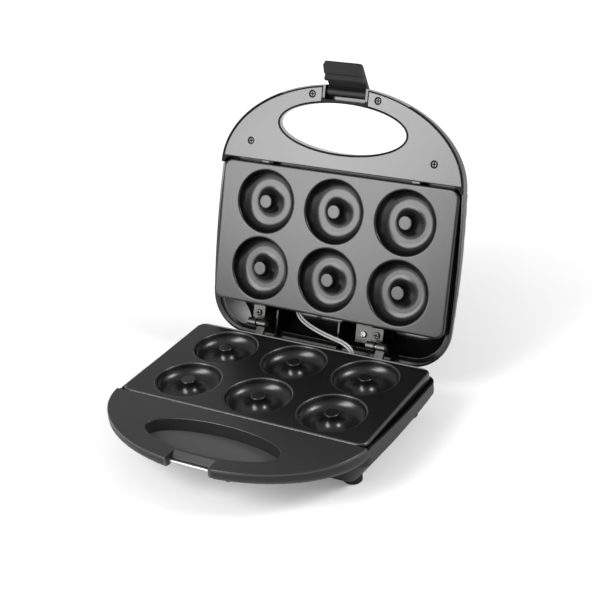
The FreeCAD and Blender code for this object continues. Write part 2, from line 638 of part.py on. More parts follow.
outer = handle_solid(0, 0, 0).fuse([tub, tapered(0, TUB_T)])
handle_room = handle_solid(WALL, 0, WALL).cut(box(-HANDLE_A, HANDLE_A, BODY_FRONT_Y, 0, -1, DOME_T))
inner = [tub_room, tapered(WALL, TUB_T - TUB_FLOOR), handle_room]
rim_end_y = HOOD_REAR_Y + 9
rim = across([(HANDLE_FRONT_Y - 9, -1), (HANDLE_FRONT_Y - 9, COVER_T), (TOP_REAR_Y, COVER_T),
              (TOP_REAR_Y, RIM_FRONT_T), (rim_end_y, RIM_FRONT_T + RIM_SLOPE * (rim_end_y - TOP_REAR_Y)),
              (rim_end_y, -1)],
             -BODY_HALF_W - 9, BODY_HALF_W + 9)
notch = SLOT_HALF + SLOT_WALL + FIT
mouth_y = OVAL_Y - OVAL_HALF_Y - COLLAR
inner.append(box(-notch, notch, HANDLE_FRONT_Y - 9, mouth_y - FIT, -1, TUB_T))
inner.append(rim)
base_shell = outer.cut(inner)
added = [rod(TRAY_BOSS_R, (x, y, TRAY_T), (x, y, TUB_T - 1)) for x, y in tray_holes]
added.append(rod(GLAND_PAD_R, (GLAND_X, GLAND_IN_Y, GLAND_T), (GLAND_X, GLAND_PAD_Y, GLAND_T)))
tray_threads = [rod(SCREW_MEDIUM[0] + THREAD_FIT, (x, y, TRAY_T - 1), (x, y, TRAY_T + TRAY_SCREW_LENGTH))
                for x, y in tray_holes]
taken = list(tray_threads)
feet_at = [(s * FOOT_X, y) for s in SIDES for y in (FOOT_FRONT_Y, FOOT_REAR_Y)]
taken += [rod(FOOT_NECK_R + FIT, (x, y, TUB_T - 9), (x, y, TUB_T + 1)) for x, y in feet_at]
taken.append(rod(GLAND_NECK_R + THREAD_FIT, (GLAND_X, 0, GLAND_T), (GLAND_X, GLAND_PAD_Y + 1, GLAND_T)))
taken += [rod(SCREW_MEDIUM[0] + THREAD_FIT, (s * HINGE_X, BASE_REAR_Y - 9, LEAF_SCREW_T),
              (s * HINGE_X, BASE_REAR_Y + 1, LEAF_SCREW_T)) for s in SIDES]
taken += [rod(SCREW_MEDIUM[0] + FIT, (x, y, 0), (x, y, TUB_T)) for x, y in HANDLE_SCREWS]
taken += [rod(SCREW_MEDIUM[1] + FIT, (x, y, handle_depth(y) - HEAD_SINK), (x, y, TUB_T))
          for x, y in HANDLE_SCREWS]
lead_x, lead_t = LEAD_BASE_X + LEAD_STEP / 2, LEAD_BASE_T - LEAD_STEP / 2
taken.append(rod(LEAD_HOLE_R, (lead_x, LEAD_RUN_Y, lead_t), (lead_x, LEAD_BACK_Y, lead_t)))
lug_half = LUG_W / 2 + FIT
lug_end_y = PLATE_FRONT_Y - LUG_REACH - FIT
taken += [box(s * BASE_LUG_X - lug_half, s * BASE_LUG_X + lug_half, lug_end_y, PLATE_FRONT_Y,
              LUG_T - FIT, LUG_T + LUG_H + FIT) for s in SIDES]
base_shell = solid(base_shell.fuse(added).cut(taken))
nodes["base_shell"] = to_base(base_shell)

# Top of the lower handle: plate with the hand recess's collar, latch notch, ramp and screw posts.
top = handle_prism(0, FACE_T, COVER_T - FACE_T)
top = top.makeFillet(TOP_EDGE_R, [e for e in edges_at(top, FACE_T) if e.Curve.TypeId != "Part::GeomLine"])
top = top.cut(box(-HANDLE_A, HANDLE_A, TOP_REAR_Y, 0, -1, TUB_T))
posts = [oval(COLLAR, FACE_T, TUB_T)]
posts += [rod(HANDLE_BOSS_R, (x, y, COVER_T / 2), (x, y, TUB_T)) for x, y in HANDLE_SCREWS]
posts = posts[0].fuse(posts[1:]).common(handle_solid(WALL, -1, WALL))
posts = posts.cut(box(-notch, notch, HANDLE_FRONT_Y - 9, mouth_y, -1, TUB_T))
guide = SLOT_HALF + SLOT_WALL
ramp = across([(mouth_y + 1, FACE_T), (mouth_y, FACE_T), (RAMP_Y, RAMP_T), (RAMP_Y, RAMP_FOOT_T),
               (mouth_y + 1, RAMP_FOOT_T)], -guide, guide)
cheeks = box(-guide, guide, HANDLE_FRONT_Y - 1, mouth_y + 1, FACE_T, RAMP_FOOT_T)
cheeks = cheeks.cut(box(-SLOT_HALF, SLOT_HALF, HANDLE_FRONT_Y - 2, mouth_y + 2, -1, TUB_T))
cheeks = cheeks.common(handle_solid(0, 0, 0))
top = top.cut(box(-SLOT_HALF, SLOT_HALF, HANDLE_FRONT_Y - 2, mouth_y, -1, TUB_T))
top = top.fuse([posts, ramp, cheeks])
top_taken = [oval(0, -1, TUB_T)]
top_taken += [rod(SCREW_MEDIUM[0] + THREAD_FIT, (x, y, COVER_T), (x, y, TUB_T)) for x, y in HANDLE_SCREWS]
top_taken.append(rod(BAR_R + THREAD_FIT, (-guide - 1, BAR_Y, BAR_T), (guide + 1, BAR_Y, BAR_T)))
top = solid(top.cut(top_taken))
recess_edge = [e for e in edges_at(top, FACE_T) if e.isClosed()]
nodes["base_handle_top"] = to_base(top.makeFillet(RECESS_EDGE_R, recess_edge).Solids[0])
nodes["catch_bar"] = to_base(rod(BAR_R, (-guide, BAR_Y, BAR_T), (guide, BAR_Y, BAR_T)))
nodes["base_handle_screws"] = group([
    to_base(screw(SCREW_MEDIUM, BASE_HANDLE_SCREW_LENGTH, (x, y, handle_depth(y) - HEAD_SINK), (0, 0, -1)))
    for x, y in HANDLE_SCREWS])

# Rubber feet pushed into the floor, and the cord inlet's bush in the rear wall.
pads = []
for x, y in feet_at:
    pad = rod(FOOT_R, (x, y, TUB_T), (x, y, FACE_Z))
    pad = pad.makeFillet(FOOT_EDGE_R, edges_at(pad, FACE_Z))
    neck = rod(FOOT_NECK_R, (x, y, TUB_T - TUB_FLOOR - 1), (x, y, TUB_T + 1))
    bulb = rod(FOOT_BULB_R, (x, y, TUB_T - TUB_FLOOR - FOOT_BULB_H), (x, y, TUB_T - TUB_FLOOR))
    pads.append(to_base(one([pad, neck, bulb])))
nodes["feet"] = group(pads)
inlet_end_y = GLAND_PAD_Y + GLAND_FLANGE
inlet = one([rod(GLAND_NECK_R, (GLAND_X, GLAND_IN_Y, GLAND_T), (GLAND_X, inlet_end_y, GLAND_T)),
             rod(GLAND_FLANGE_R, (GLAND_X, GLAND_PAD_Y, GLAND_T), (GLAND_X, inlet_end_y, GLAND_T))])
inlet = inlet.cut(rod(GLAND_BORE_R, (GLAND_X, GLAND_IN_Y - 1, GLAND_T), (GLAND_X, inlet_end_y + 1, GLAND_T)))
nodes["cord_inlet"] = to_base(solid(inlet))

# Hinges. The base leaf is screwed to the rear wall and carries the pin and a stop for the lid leaf.
leaf_y = BASE_REAR_Y + LEAF
base_leaf = across([(BASE_REAR_Y, LEAF_FOOT_T), (BASE_REAR_Y, LEAF_TOP_T),
                    (HINGE_Y - 0.5 * KNUCKLE_R, -0.125 * KNUCKLE_R),
                    (HINGE_Y + 0.25 * KNUCKLE_R, 0.625 * KNUCKLE_R),
                    (leaf_y, LEAF_TOP_T + 0.5 * LEAF), (leaf_y, LEAF_FOOT_T)], -KNUCKLE_W / 2, KNUCKLE_W / 2)
wing = box(-BASE_LEAF_HALF_W, BASE_LEAF_HALF_W, BASE_REAR_Y, leaf_y, LEAF_TOP_T + 0.5, LEAF_FOOT_T)
knuckle = rod(KNUCKLE_R, (-KNUCKLE_W / 2, HINGE_Y, 0), (KNUCKLE_W / 2, HINGE_Y, 0))
tail = box(-KNUCKLE_W / 2, KNUCKLE_W / 2, HINGE_Y - 1, HINGE_Y + STOP_Y1, STOP_T0, STOP_T1)
stop = box(-KNUCKLE_STEP - KNUCKLE_W / 2, 0, HINGE_Y + STOP_Y0, HINGE_Y + STOP_Y1, STOP_T0, STOP_T1)
base_leaf = base_leaf.fuse([wing, knuckle, tail, stop])
base_leaf = solid(base_leaf.cut([
    rod(HINGE_PIN_R + THREAD_FIT, (-KNUCKLE_W, HINGE_Y, 0), (KNUCKLE_W, HINGE_Y, 0)),
    rod(SCREW_MEDIUM[0] + FIT, (0, BASE_REAR_Y - 1, LEAF_SCREW_T), (0, BASE_REAR_Y + 9, LEAF_SCREW_T))]))
web_y = HINGE_Y - LEAF
lid_leaf = across([(LID_LEAF_FRONT_Y, LID_LEAF_T), (web_y, LID_LEAF_T), (web_y, 0), (web_y + 1.25 * LEAF, 0),
                   (web_y + 1.25 * LEAF, LID_LEAF_T + LEAF), (LID_LEAF_FRONT_Y, LID_LEAF_T + LEAF)],
                  -KNUCKLE_W / 2, KNUCKLE_W / 2)
lid_wing = box(-LID_LEAF_HALF_W, LID_LEAF_HALF_W, LID_LEAF_FRONT_Y, web_y - 1, LID_LEAF_T, LID_LEAF_T + LEAF)
lid_leaf = lid_leaf.fuse([lid_wing, knuckle])
lid_leaf = solid(lid_leaf.cut([
    rod(HINGE_PIN_R + RUN_FIT, (-KNUCKLE_W, HINGE_Y, 0), (KNUCKLE_W, HINGE_Y, 0)),
    rod(SCREW_MEDIUM[0] + FIT, (0, LID_LEAF_SCREW_Y, 0), (0, LID_LEAF_SCREW_Y, DOME_T))]))
pin_out = KNUCKLE_W / 2 + HINGE_PIN_PROUD
pin = rod(HINGE_PIN_R, (-KNUCKLE_STEP - pin_out, HINGE_Y, 0), (pin_out, HINGE_Y, 0))
leaf_screw = screw(SCREW_MEDIUM, BASE_LEAF_SCREW_LENGTH, (0, leaf_y, LEAF_SCREW_T), (0, -1, 0))
lid_leaf_at = (-KNUCKLE_STEP, LID_LEAF_SCREW_Y, LID_LEAF_T)
lid_leaf_screw = screw(SCREW_MEDIUM, LID_LEAF_SCREW_LENGTH, lid_leaf_at, (0, 0, 1))
for s, name in ((-1, "left"), (1, "right")):
    nodes["hinge_base_leaf_" + name] = to_base(base_leaf.translated(V(s * HINGE_X, 0, 0)))
    nodes["hinge_lid_leaf_" + name] = to_lid(lid_leaf.translated(V(s * HINGE_X - KNUCKLE_STEP, 0, 0)))
    nodes["hinge_pin_" + name] = to_base(pin.translated(V(s * HINGE_X, 0, 0)))
nodes["hinge_base_screws"] = group([to_base(leaf_screw.translated(V(s * HINGE_X, 0, 0))) for s in SIDES])
nodes["hinge_lid_screws"] = group([to_lid(lid_leaf_screw.translated(V(s * HINGE_X, 0, 0))) for s in SIDES])

# Lid shell: rim band, dome and the upper handle.
band = prism(bowed(0, BODY_FRONT_Y, BODY_FRONT_R, HOOD_REAR_Y, HOOD_REAR_R, 0), BAND_T)
band = band.makeFillet(BAND_EDGE_R, edges_at(band, BAND_T))
band_room = prism(bowed(WALL, BODY_FRONT_Y, BODY_FRONT_R, HOOD_REAR_Y, HOOD_REAR_R, -1), BAND_T - WALL + 1)


def dome(inset, t0):
    front = BODY_FRONT_Y + DOME_INSET
    shift = DOME_INSET + inset
    body = prism(bowed(shift, front - DOME_INSET, DOME_FRONT_R + DOME_INSET, HOOD_REAR_Y, HOOD_REAR_R, t0),
                 DOME_T - inset - t0)
    return body.makeFillet(DOME_EDGE_R - inset, edges_at(body, DOME_T - inset))


shape = handle_solid(0, 0, 0).fuse([band, dome(0, DOME_START_T)])
ledge = COVER_INSET + COVER_LEDGE
grip_room = handle_solid(ledge, COVER_T, WALL).cut(box(-HANDLE_A, HANDLE_A, BODY_FRONT_Y, 0, -1, DOME_T))
seat = handle_prism(COVER_INSET - COVER_GROOVE, -1, COVER_T + 1)
seat = seat.cut(box(-HANDLE_A, HANDLE_A, COVER_REAR_Y + FIT, 0, -2, DOME_T))
keep = oval(COLLAR, COVER_T, DOME_T, OVAL_FLARE)
keep = keep.fuse([rod(HANDLE_BOSS_R, (x, y, COVER_T), (x, y, DOME_T)) for x, y in HANDLE_SCREWS])
keep_front = box(-guide, guide, HANDLE_FRONT_Y - 1, mouth_y + COLLAR, -1, DOME_T)
keep_lip = oval(COVER_INSET - COVER_GROOVE, -1, DOME_T)
rim = across([(HANDLE_FRONT_Y - 9, -1), (HANDLE_FRONT_Y - 9, FACE_T), (HANDLE_Y, FACE_T),
              (HANDLE_Y, RIM_FRONT_T), (rim_end_y, RIM_FRONT_T + RIM_SLOPE * (rim_end_y - HANDLE_Y)),
              (rim_end_y, -1)],
             -BODY_HALF_W - 9, BODY_HALF_W + 9)
grip_room = grip_room.cut([keep, keep_front])
lid_shell = shape.cut([band_room, dome(WALL, 0), grip_room, seat.cut([keep_front, keep_lip]), rim])
inside = shape.common(box(-BODY_HALF_W, BODY_HALF_W, BODY_FRONT_Y, HOOD_REAR_Y, 0, DOME_T - 0.5))
roof = [rod(TRAY_BOSS_R, (x, y, TRAY_T), (x, y, DOME_T)) for x, y in tray_holes]
roof += [rod(LEAF_BOSS_R, (s * HINGE_X - KNUCKLE_STEP, LID_LEAF_SCREW_Y, LID_LEAF_T + LEAF),
             (s * HINGE_X - KNUCKLE_STEP, LID_LEAF_SCREW_Y, DOME_T)) for s in SIDES]
roof.append(rod(LEAF_BOSS_R, (EARTH_X, EARTH_Y, FLANGE_T), (EARTH_X, EARTH_Y, DOME_T)))
roof += [box(x - FIN_W / 2, x + FIN_W / 2, FIN_FRONT_Y, HOOD_REAR_Y, FIN_T, DOME_T) for x in FIN_X]
roof = [piece.common(inside) for piece in roof]
taken = [oval(0, FACE_T, DOME_T, OVAL_FLARE), oval(0, -1, FACE_T)]
taken.append(box(-SLOT_HALF, SLOT_HALF, HANDLE_FRONT_Y - 9, SLOT_SKIN_Y, -1, DOME_T))
taken.append(box(-SLOT_HALF, SLOT_HALF, SLOT_SKIN_Y - 1, mouth_y, -1, LATCH_T + LATCH_BARREL_R + SLOT_AIR))
taken += [rod(COVER_SCREW[0] + THREAD_FIT, (x, y, 0), (x, y, handle_depth(y) - WALL))
          for x, y in HANDLE_SCREWS]
taken += tray_threads
leaf_hole = rod(SCREW_MEDIUM[0] + THREAD_FIT, lid_leaf_at,
                (-KNUCKLE_STEP, LID_LEAF_SCREW_Y, LID_LEAF_T + LID_LEAF_SCREW_LENGTH + TIP_GAP))
taken += [leaf_hole.translated(V(s * HINGE_X, 0, 0)) for s in SIDES]
taken.append(rod(SCREW_MEDIUM[0] + THREAD_FIT, (EARTH_X, EARTH_Y, SKIRT_T),
                 (EARTH_X, EARTH_Y, SKIRT_T + EARTH_SCREW_LENGTH + TIP_GAP)))
taken.append(rod(LATCH_PIN_R + THREAD_FIT, (-guide, LATCH_Y, LATCH_T), (guide, LATCH_Y, LATCH_T)))
taken += [rod(LIGHT_R + THREAD_FIT, (s * LIGHT_X, LIGHT_Y, TRAY_T), (s * LIGHT_X, LIGHT_Y, DOME_T + 1))
          for s in SIDES]
taken += [box(s * LID_LUG_X - lug_half, s * LID_LUG_X + lug_half, lug_end_y, HANDLE_Y,
              LUG_T - FIT, LUG_T + LUG_H + FIT) for s in SIDES]
nodes["lid_shell"] = to_lid(solid(lid_shell.fuse(roof).cut(taken)))

# Inner face of the upper handle: a C-shaped cover with four screws.
cover = handle_prism(COVER_INSET, FACE_T, COVER_T - FACE_T)
curved = [e for e in edges_at(cover, FACE_T) if e.Curve.TypeId != "Part::GeomLine"]
cover = cover.makeFillet(COVER_EDGE_R, curved)
sink_t = FACE_T + COVER_SINK
cover_end = guide + COVER_GROOVE
cover = cover.cut([box(-HANDLE_A, HANDLE_A, COVER_REAR_Y, 0, -1, DOME_T), oval(COVER_INSET, -1, DOME_T),
                   box(-cover_end, cover_end, HANDLE_FRONT_Y - 9, OVAL_Y, -1, DOME_T)]
                  + [rod(COVER_SCREW[0] + FIT, (x, y, -1), (x, y, DOME_T)) for x, y in HANDLE_SCREWS]
                  + [rod(COVER_SCREW_WELL_R, (x, y, -1), (x, y, sink_t)) for x, y in HANDLE_SCREWS])
nodes["lid_handle_cover"] = to_lid(solid(cover))
nodes["lid_handle_screws"] = group([
    to_lid(screw(COVER_SCREW, LID_HANDLE_SCREW_LENGTH, (x, y, sink_t), (0, 0, 1))) for x, y in HANDLE_SCREWS])
nodes["earth_screw"] = to_lid(screw(SCREW_MEDIUM, EARTH_SCREW_LENGTH, (EARTH_X, EARTH_Y, SKIRT_T), (0, 0, 1)))

# Pilot lights: two lenses in the roof and the holder behind them.
light_t = DOME_T + LIGHT_PROUD
for x, name in ((-LIGHT_X, "power_light"), (LIGHT_X, "ready_light")):
    lens = one([rod(LIGHT_R, (x, LIGHT_Y, DOME_T - WALL - 1), (x, LIGHT_Y, light_t)),
                rod(LIGHT_FLANGE_R, (x, LIGHT_Y, DOME_T), (x, LIGHT_Y, light_t))])
    nodes[name] = to_lid(lens.makeFillet(LIGHT_PROUD * 0.6, edges_at(lens, light_t)))
holder_x = LIGHT_X + LIGHT_FLANGE_R
holder = box(-holder_x, holder_x, LIGHT_Y - LIGHT_FLANGE_R, LIGHT_Y + LIGHT_FLANGE_R,
             LIGHT_HOLDER_T, DOME_T - WALL)
seat_t = LIGHT_HOLDER_T + LIGHT_HOLDER_BACK
holder = holder.cut([rod(LIGHT_R + FIT, (s * LIGHT_X, LIGHT_Y, seat_t), (s * LIGHT_X, LIGHT_Y, DOME_T))
                     for s in SIDES])
nodes["light_holder"] = to_lid(solid(holder))

# Latch clip on its pin, swung open.
profile = [(LATCH_OUTER_Y, LATCH_TOP_T), (LATCH_OUTER_Y, LATCH_TAB_T + 1.5), (LATCH_OUTER_Y + 1, LATCH_TAB_T),
           (LATCH_INNER_Y - 1, LATCH_TAB_T), (LATCH_HOOK_Y - 2, LATCH_HOOK_T - LATCH_HOOK_H - 4),
           (LATCH_INNER_Y + 0.6, LATCH_HOOK_T - LATCH_HOOK_H - 2), (LATCH_HOOK_Y, LATCH_HOOK_T - LATCH_HOOK_H),
           (LATCH_HOOK_Y, LATCH_HOOK_T), (LATCH_INNER_Y, LATCH_HOOK_T), (LATCH_INNER_Y, LATCH_TOP_T)]
latch = across(profile, -LATCH_HALF_W, LATCH_HALF_W)
face_end = LATCH_T + LATCH_BARREL_R + LATCH_TAB_R
face = rounded(-LATCH_HALF_W, LATCH_HALF_W, LATCH_TAB_T, face_end, LATCH_TAB_R, 0)
face.rotate(V(0, 0, 0), V(1, 0, 0), 90)
mask = Part.Face(face).extrude(V(0, -200, 0))
latch = latch.common(mask)
latch = latch.fuse(rod(LATCH_BARREL_R, (-LATCH_HALF_W, LATCH_Y, LATCH_T), (LATCH_HALF_W, LATCH_Y, LATCH_T)))
latch = solid(latch.cut(rod(LATCH_PIN_R + RUN_FIT, (-guide, LATCH_Y, LATCH_T), (guide, LATCH_Y, LATCH_T))))
latch.rotate(V(0, LATCH_Y, LATCH_T), V(1, 0, 0), -LATCH_OPEN)
nodes["latch"] = to_lid(latch)
nodes["latch_pin"] = to_lid(rod(LATCH_PIN_R, (-guide, LATCH_Y, LATCH_T), (guide, LATCH_Y, LATCH_T)))

# Twin lead between the two terminal blocks, along its run with the lid open.
def opened(x, y, t):
    turn = math.radians(LID_OPEN)
    return (x, HINGE_Y + (y - HINGE_Y) * math.cos(turn) + t * math.sin(turn),
            FACE_Z - (y - HINGE_Y) * math.sin(turn) + t * math.cos(turn))


lead_z = FACE_Z - LEAD_BASE_T
block_x = BLOCK_HALF_X + NEAR
strands = []
for k in (0, LEAD_STEP):
    run = [opened(-block_x - k, LEAD_LID_Y, LEAD_LID_T),
           opened(-BLOCK_HALF_X - LEAD_EXIT, LEAD_LID_Y, LEAD_LID_T),
           opened(LEAD_TURN_X, HINGE_Y - LEAD_TURN_IN, LEAD_TURN_T),
           (LEAD_SAG_X, HINGE_Y + LEAD_SAG_BEHIND, FACE_Z - LEAD_SAG_T), (LEAD_BASE_X, LEAD_BACK_Y, FACE_Z),
           (LEAD_BASE_X, LEAD_BACK_Y, lead_z), (LEAD_BASE_X, LEAD_RUN_Y, lead_z),
           (block_x - k, LEAD_RUN_Y, lead_z)]
    strands.append(tube([(x + k, y + k, z + k) for x, y, z in run], LEAD_BENDS, LEAD_R))
nodes["lid_lead"] = group(strands)

# The frame's origin lies under the middle of the open part.
whole = Part.makeCompound(list(nodes.values())).optimalBoundingBox(False)
middle = V(0, -(whole.YMin + whole.YMax) / 2, 0)
os.makedirs("parts", exist_ok=True)
for name, shape in nodes.items():
    moved = shape.copy()
    moved.translate(middle)
    moved.exportStep("parts/" + name + ".step")
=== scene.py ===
# %% [markdown]
# # A doughnut maker, dressed for a studio picture
# The machine is a black moulded base and lid, each with a coated plate of six ring moulds, joined by two
# steel hinges. The rigid pieces already have their true shape in the loaded frame, so this lesson is mostly
# about finishes: how black plastic, black non-stick and plated steel differ in the way they take the light.

# %% Load the frame
import math
import bpy
import numpy as np
from mathutils import Matrix


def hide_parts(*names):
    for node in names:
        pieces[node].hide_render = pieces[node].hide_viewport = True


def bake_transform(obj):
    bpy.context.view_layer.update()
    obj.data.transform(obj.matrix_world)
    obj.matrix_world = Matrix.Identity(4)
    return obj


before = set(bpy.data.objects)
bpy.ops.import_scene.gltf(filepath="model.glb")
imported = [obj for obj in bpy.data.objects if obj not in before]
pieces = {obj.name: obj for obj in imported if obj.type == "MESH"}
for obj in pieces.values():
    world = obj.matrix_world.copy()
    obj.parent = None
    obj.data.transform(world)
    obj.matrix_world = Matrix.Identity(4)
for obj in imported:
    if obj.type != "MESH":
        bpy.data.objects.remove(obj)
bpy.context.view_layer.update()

scene = bpy.context.scene
scene.view_settings.view_transform = "Standard"

# %% [markdown]
# ## Colour
# Colours are written the way a picture editor shows them, as sRGB hex, and turned to the linear values that
# the shader works in. A grey colour also carries a plain number, such as a roughness, through a colour ramp.

# %% Colour
MM = 0.001


def linear(code):
    """sRGB hex to linear colour: the standard curve, a straight toe and a power of 2.4."""
    srgb = np.array([int(code[i:i + 2], 16) for i in (1, 3, 5)]) / 255
    toe = srgb / 12.92
    curve = ((srgb + 0.055) / 1.055) ** 2.4
    return (*np.where(srgb <= 0.04045, toe, curve).tolist(), 1.0)


def grey(level):
    """One level for red, green and blue alike."""
    return (level, level, level, 1.0)


print("#808080 is", round(linear("#808080")[0], 3), "in linear light")

# %% [markdown]
# ## Nodes
# A finish is a small net of nodes. One function adds a node, sets it and links it, so that each finish below
# reads as a list. Two more start a finish, and let a pattern move a shader's sockets between two ends.

# %% Nodes
def add(tree, kind, inputs=None, stops=None, **settings):
    """Adds a node; an input is a value to set or an output to link, and stops fill a colour ramp."""
    node = tree.nodes.new(kind)
    for name, value in settings.items():
        setattr(node, name, value)
    for name, value in (inputs or {}).items():
        if isinstance(value, bpy.types.NodeSocket):
            tree.links.new(value, node.inputs[name])
        else:
            node.inputs[name].default_value = value
    if stops:
        for element, (at, colour) in zip(node.color_ramp.elements, stops):
            element.position, element.color = at, colour
    return node


def new_finish(name, **sockets):
    """A material with one Principled shader; returns it with its tree, shader and object coordinates."""
    material = bpy.data.materials.new(name)
    material.use_nodes = True
    tree = material.node_tree
    shader = tree.nodes["Principled BSDF"]
    for socket, value in sockets.items():
        shader.inputs[socket.replace("_", " ")].default_value = value
    place = add(tree, "ShaderNodeTexCoord").outputs["Object"]
    return material, tree, shader, place


def vary(tree, pattern, shader, **ends):
    """Moves each socket evenly from one (pattern value, colour) end to the other as the pattern goes."""
    for socket, stops in ends.items():
        band = add(tree, "ShaderNodeValToRGB", {"Fac": pattern}, stops)
        tree.links.new(band.outputs["Color"], shader.inputs[socket.replace("_", " ")])


print("node helpers:", [helper.__name__ for helper in (add, new_finish, vary)])

# %% [markdown]
# ## Black ABS mouldings
# The shells, the handle and the latch are injection-moulded ABS. The mould was finely spark-eroded, which
# leaves a very shallow grain, so highlights are soft but still bright. The true grain is a tenth of a
# millimetre, too fine to show, so it is drawn about a millimetre across. A slow change of roughness stands
# for the slight differences in how the skin cooled against the steel. A moulding has no sharp edge, so a
# Bevel node rounds the edges for the light alone, and the shapes stay as they are.

# %% Black ABS
SLOW_MM = 45
GRAIN_HEIGHT = 0.1 * MM
EDGE_SAMPLES = 6


def worn_edges(tree, shader, height, strength, edge_mm=0.45):
    """Turns the normal as a round of edge_mm on each edge would, and then by the slope of a fine height."""
    edge = add(tree, "ShaderNodeBevel", {"Radius": edge_mm * MM}, samples=EDGE_SAMPLES)
    bump = add(tree, "ShaderNodeBump", {"Height": height, "Strength": strength, "Distance": GRAIN_HEIGHT,
                                        "Normal": edge.outputs["Normal"]})
    tree.links.new(bump.outputs["Normal"], shader.inputs["Normal"])


def black_abs(name, colour, rough, grain_mm, depth, **sockets):
    """Colour and roughness follow a slow noise from end to end; a fine noise is the height of the grain."""
    material, tree, shader, place = new_finish(name, **sockets)
    slow = add(tree, "ShaderNodeTexNoise", {"Vector": place, "Scale": 1 / (SLOW_MM * MM), "Detail": 2.0})
    vary(tree, slow.outputs["Fac"], shader,
         Base_Color=[(0.1, linear(colour[0])), (0.9, linear(colour[1]))],
         Roughness=[(0.1, grey(rough[0])), (0.9, grey(rough[1]))])
    grain = add(tree, "ShaderNodeTexNoise", {"Vector": place, "Scale": 1 / (grain_mm * MM), "Detail": 2.0})
    worn_edges(tree, shader, grain.outputs["Fac"], depth)
    return material


# The lower handle's top has a soft sheen. Its colour is painted lighter than the tub's black, painted light
# for the light that falls on the top.
satin_abs_painted_light = black_abs("abs_black_satin_painted_light", ("#212122", "#262627"),
                      rough=(0.27, 0.33), grain_mm=0.9, depth=0.12, IOR=1.53)
# The lid is polished and mirrors the room.
gloss_abs = black_abs("abs_black_gloss", ("#0d0d0e", "#101011"),
                      rough=(0.13, 0.18), grain_mm=1.2, depth=0.04, IOR=1.53)
# The cover of the lid's handle mirrors most, and turns grey where it meets the lamp's light. Its colour is
# also painted greyer than the lid's black, a painted reflection.
cover_abs_painted_reflection = black_abs("abs_black_cover_painted_reflection", ("#2e2e2f", "#343435"),
                      rough=(0.27, 0.31), grain_mm=0.9, depth=0.12, IOR=1.66)
# The tub and the latch are matt and stay black from every side.
tub_abs = black_abs("abs_black_tub", ("#0b0b0c", "#0e0e0f"),
                    rough=(0.42, 0.5), grain_mm=1.0, depth=0.2, IOR=1.4)
latch_abs = black_abs("abs_black_latch", ("#0a0a0b", "#0e0e0f"),
                      rough=(0.5, 0.56), grain_mm=1.0, depth=0.2, IOR=1.4)
print("ABS finishes:", [m.name for m in (satin_abs_painted_light, gloss_abs, cover_abs_painted_reflection, tub_abs, latch_abs)])

# %% [markdown]
# ### A mask for some faces
# Some faces of a piece get painted light or shade: a lighter or darker colour, with its own roughness.
# Painting them would need a UV map. A mask needs none: it finds faces by the way they look and by how deep
# they lie, and mixes the painted colour in there.

# %% A mask for some faces
BACKWARDS = (0.0, 1.0, 0.0)
FACING = 0.7
BEYOND = 1.0
MIX_FROM, MIX_TO, MIX_RESULT = 6, 7, 2


def paint_light_and_shade(material, way, band, colour, rough, before=BEYOND):
    """Mixes a painted colour that stands for light or shade, with its own roughness, in where the normal
    along way is over FACING, the level along way is in a band and the depth is less than before. The mask is
    the product of these tests, each of them 0 or 1."""
    tree = material.node_tree
    shader = tree.nodes["Principled BSDF"]
    place = add(tree, "ShaderNodeTexCoord").outputs
    tests = ((place["Normal"], way, "GREATER_THAN", FACING),
             (place["Object"], way, "GREATER_THAN", band[0]),
             (place["Object"], way, "LESS_THAN", band[1]),
             (place["Object"], BACKWARDS, "LESS_THAN", before))
    mask = 1.0
    for vector, along, test, limit in tests:
        reach = add(tree, "ShaderNodeVectorMath", {0: vector, 1: along}, operation="DOT_PRODUCT")
        met = add(tree, "ShaderNodeMath", {0: reach.outputs["Value"], 1: limit}, operation=test)
        both = add(tree, "ShaderNodeMath", {0: mask, 1: met.outputs["Value"]}, operation="MULTIPLY")
        mask = both.outputs["Value"]
    for socket, patch in (("Base Color", linear(colour)), ("Roughness", grey(rough))):
        plain = shader.inputs[socket].links[0].from_socket
        mixed = add(tree, "ShaderNodeMix", data_type="RGBA",
                    inputs={"Factor": mask, MIX_FROM: plain, MIX_TO: patch})
        tree.links.new(mixed.outputs[MIX_RESULT], shader.inputs[socket])


def top_along(name, way):
    """Level of a piece's outermost point: the largest product of a point and the direction."""
    mesh = pieces[name].data
    points = np.empty(3 * len(mesh.vertices))
    mesh.vertices.foreach_get("co", points)
    return float((points.reshape(-1, 3) @ np.array(way)).max())


UP = (0.0, 0.0, 1.0)
OPEN = math.radians(108.7)
LID_WAY = (0.0, -math.sin(OPEN), -math.cos(OPEN))
cover_level = top_along("lid_handle_cover", LID_WAY)
print("the handle's cover lies", round(cover_level / MM, 1), "mm out along the open lid's inner side")

# %% [markdown]
# ### Where the plastic's skin differs, and where light and shade are painted
# The floor of the hand recess belongs to the tub, but its part of the mould was left coarse, so it is matt,
# and it is painted paler, painted light for the light that falls on it. The sunk faces of the lid, such as
# the groove round the cover and the wells of its screws, are coarse too, and so is the lip of the hand
# opening. They are painted near black, a painted shade, and stay dark where the other faces mirror the
# light. The hood's inner corner beside the left hinge is painted pale, a painted reflection.

# %% Where the plastic's skin differs, and where light and shade are painted
RECESS_REAR = -84 * MM
LIP_REAR = 139.3 * MM
CORNER_WAY = (0.8, 0.0, 0.6)
recess_floor = (0.0, 37.5 * MM)
groove = (cover_level - 2.9 * MM, cover_level - 0.9 * MM)
opening_lip = (cover_level - 0.3 * MM, cover_level + 1 * MM)
hood_corner = (-80 * MM, -45 * MM)
# Painted light: the floor of the hand recess is painted paler than the tub.
paint_light_and_shade(tub_abs, UP, recess_floor, "#4a4a4b", rough=0.7, before=RECESS_REAR)
